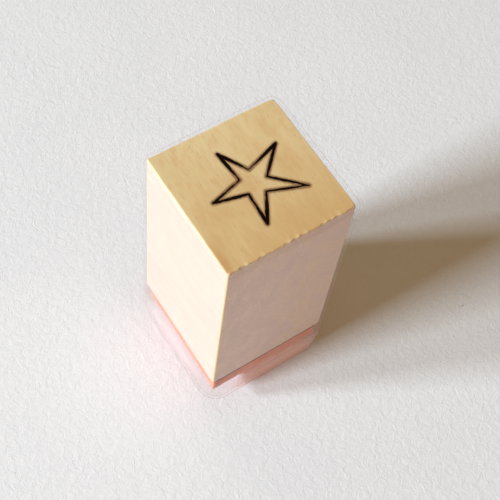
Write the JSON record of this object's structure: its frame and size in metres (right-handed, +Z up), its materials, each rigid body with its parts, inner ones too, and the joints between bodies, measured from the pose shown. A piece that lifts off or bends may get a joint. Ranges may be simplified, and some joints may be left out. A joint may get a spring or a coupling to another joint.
{
  "type": "rubber stamp",
  "caption": "Small square wood-mounted rubber stamp with a hand-drawn star outline, foam cushion and rubber die, standing in a thin clear open-topped plastic case.",
  "frame": {"origin": "middle of the clear case's underside, on the surface that the case stands on", "axes": "+Z up along the block and the case; +X and +Y along the block's sides; the block's front left corner points towards -X -Y"},
  "size_m": [0.0162, 0.0162, 0.0333],
  "materials": {
    "clear_plastic": "gloss",
    "pale_wood": "matte",
    "black_ink": "satin",
    "dark_adhesive": "satin",
    "coral_foam": "matte",
    "red_rubber": "satin"
  },
  "bodies": {
    "case": {"clear_case": "clear_plastic"},
    "stamp": {"wood_block": "pale_wood", "star_index_print": "black_ink", "block_adhesive": "dark_adhesive", "foam_cushion": "coral_foam", "cushion_adhesive": "dark_adhesive", "rubber_die": "red_rubber"}
  },
  "joints": [
    {"name": "stamp_lift", "type": "slide", "parent": "case", "child": "stamp", "axis": [0, 0, 1], "range_m": [0, 0.034]}
  ]
}
